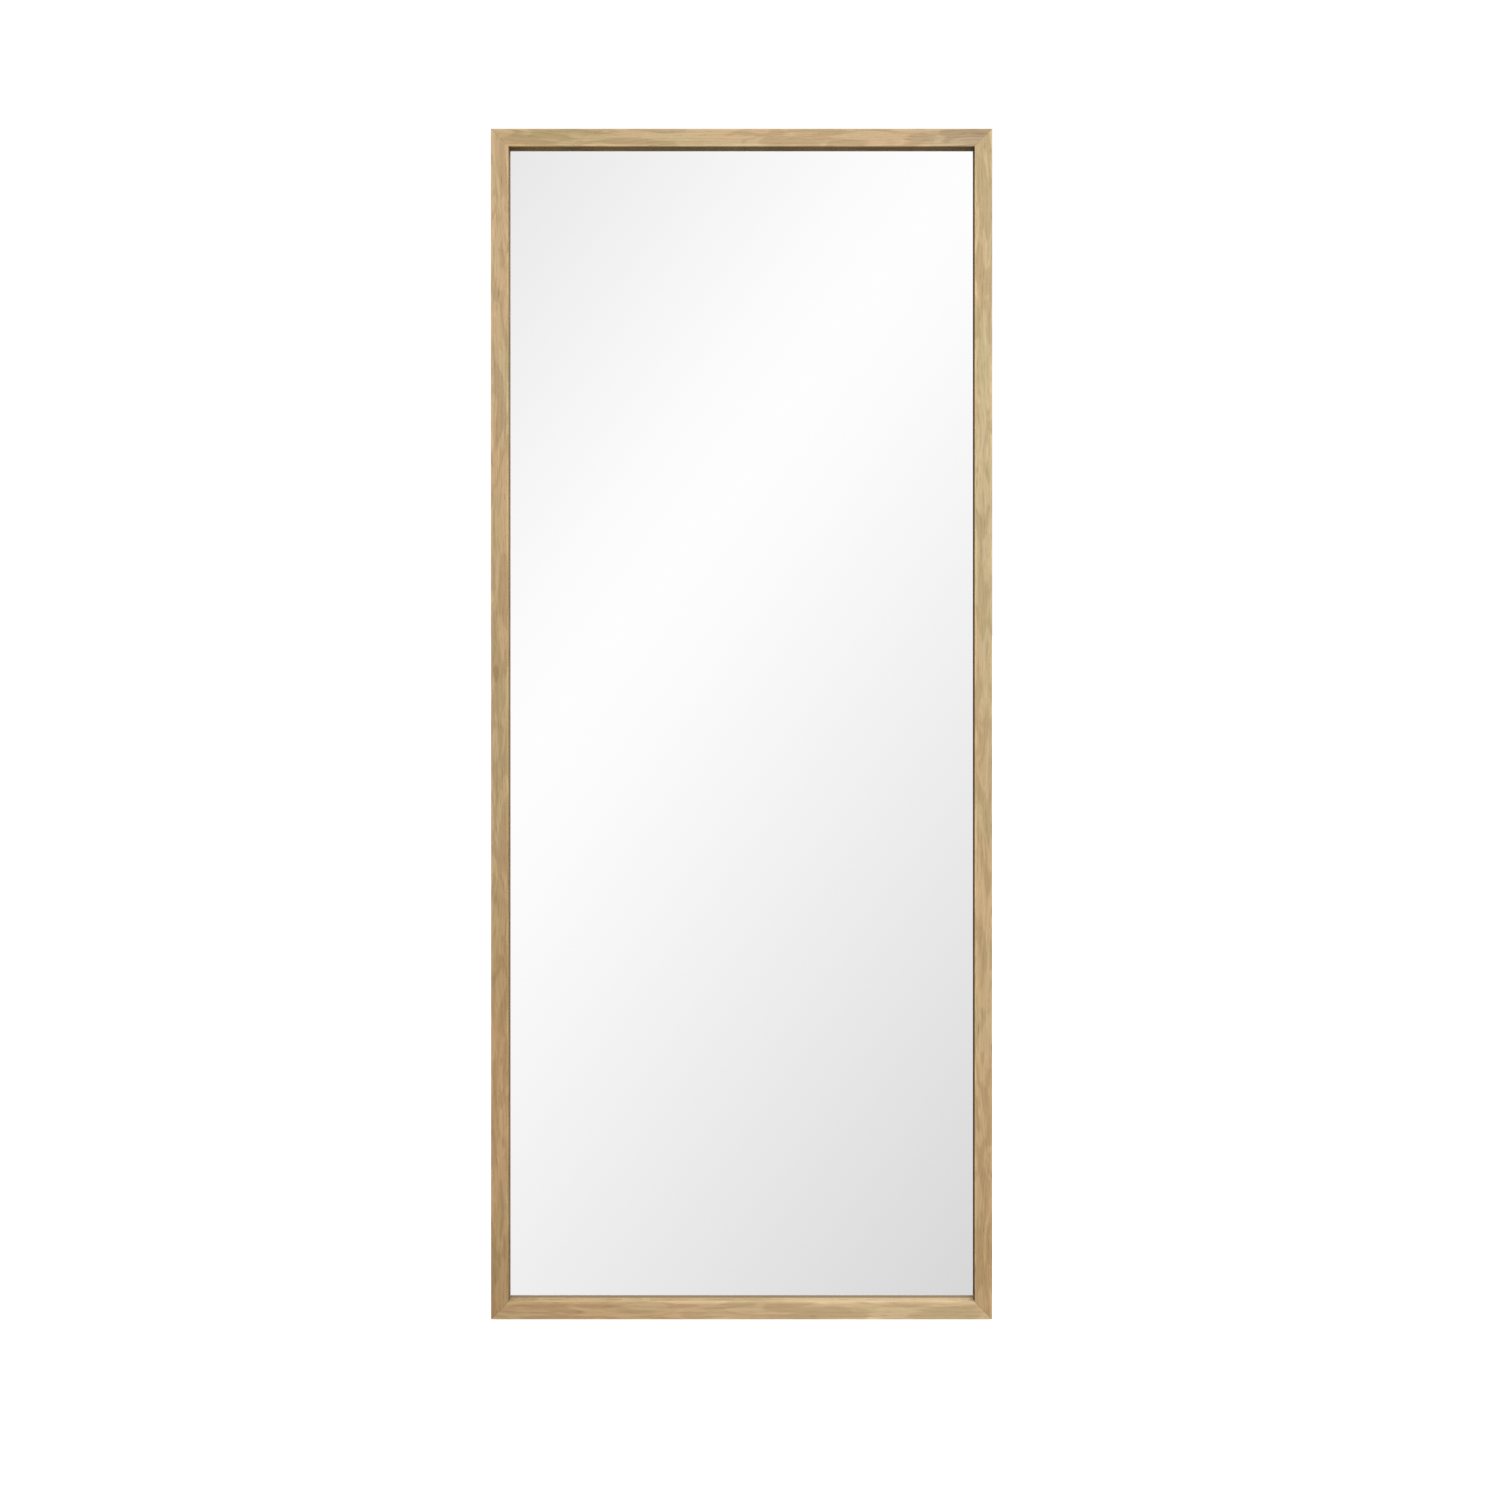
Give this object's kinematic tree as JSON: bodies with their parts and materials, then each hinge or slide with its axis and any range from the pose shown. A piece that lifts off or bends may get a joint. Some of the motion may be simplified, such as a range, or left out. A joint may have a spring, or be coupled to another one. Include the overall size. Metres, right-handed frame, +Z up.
{
  "type": "floor mirror",
  "caption": "Full-length floor mirror: mitred light oak frame round a recessed glass, leaning back on a folding wooden strut held by steel stays.",
  "frame": {"origin": "on the floor, in the middle of the footprint of the standing mirror", "axes": "+Z up, +Y from the glass towards the strut behind it, +X to the right as seen from the front"},
  "size_m": [0.8, 0.3875, 1.8917],
  "materials": {
    "oak": "matt oiled light oak",
    "pine": "planed, unfinished",
    "hardboard": "smooth hardboard",
    "mirror": "clear silvered glass",
    "zinc": "zinc plated",
    "black_steel": "black, satin",
    "rubber": "matt"
  },
  "bodies": {
    "mirror": {"top_rail": "oak", "bottom_rail": "oak", "left_stile": "oak", "right_stile": "oak", "mitre_splines": "pine", "corner_plates": "zinc", "corner_screws": "zinc", "mirror_glass": "mirror", "setting_blocks": "rubber", "backing_board": "hardboard", "rub_blocks": "pine", "upper_batten": "pine", "lower_batten": "pine", "batten_screws": "zinc", "hinge_bracket_left": "black_steel", "hinge_bracket_right": "black_steel", "bracket_screws": "zinc", "stay_track_left": "black_steel", "stay_track_right": "black_steel", "track_screws": "zinc", "floor_pads": "rubber", "hanger_plate_left": "zinc", "hanger_plate_right": "zinc", "hanger_screws": "zinc"},
    "strut": {"strut_leg_left": "oak", "strut_leg_right": "oak", "strut_top_rail": "oak", "strut_low_rail": "oak", "strut_dowels": "pine", "strut_feet": "rubber", "hinge_bolts": "zinc", "hinge_washers": "zinc", "hinge_nuts": "zinc", "stay_bolts": "zinc", "stay_washers": "zinc", "stay_nuts": "zinc"},
    "stay_left": {"stay_arm_left": "black_steel", "slide_pin_left": "zinc"},
    "stay_right": {"stay_arm_right": "black_steel", "slide_pin_right": "zinc"},
    "ring_left": {"hanger_ring_left": "zinc"},
    "ring_right": {"hanger_ring_right": "zinc"}
  },
  "joints": [
    {"name": "strut_fold", "type": "hinge", "parent": "mirror", "child": "strut", "pos_m": [0, 0.02016, 1.33996], "axis": [-1, 0, 0], "range_deg": [0, 14]},
    {"name": "stay_left_turn", "type": "hinge", "parent": "strut", "child": "stay_left", "pos_m": [-0.2045, 0.05916, 1.02235], "axis": [1, 0, 0], "range_deg": [0, 28]},
    {"name": "stay_right_turn", "type": "hinge", "parent": "strut", "child": "stay_right", "pos_m": [0.2045, 0.05916, 1.02235], "axis": [1, 0, 0], "range_deg": [0, 28]},
    {"name": "ring_left_swing", "type": "hinge", "parent": "mirror", "child": "ring_left", "pos_m": [-0.391, 0.04789, 1.63881], "axis": [1, 0, 0], "range_deg": [-6, 165]},
    {"name": "ring_right_swing", "type": "hinge", "parent": "mirror", "child": "ring_right", "pos_m": [0.391, 0.04789, 1.63881], "axis": [1, 0, 0], "range_deg": [-6, 165]}
  ],
  "couplings": [
    {"joint": "stay_left_turn", "follows": "strut_fold", "ratio": 2},
    {"joint": "stay_right_turn", "follows": "strut_fold", "ratio": 2}
  ]
}
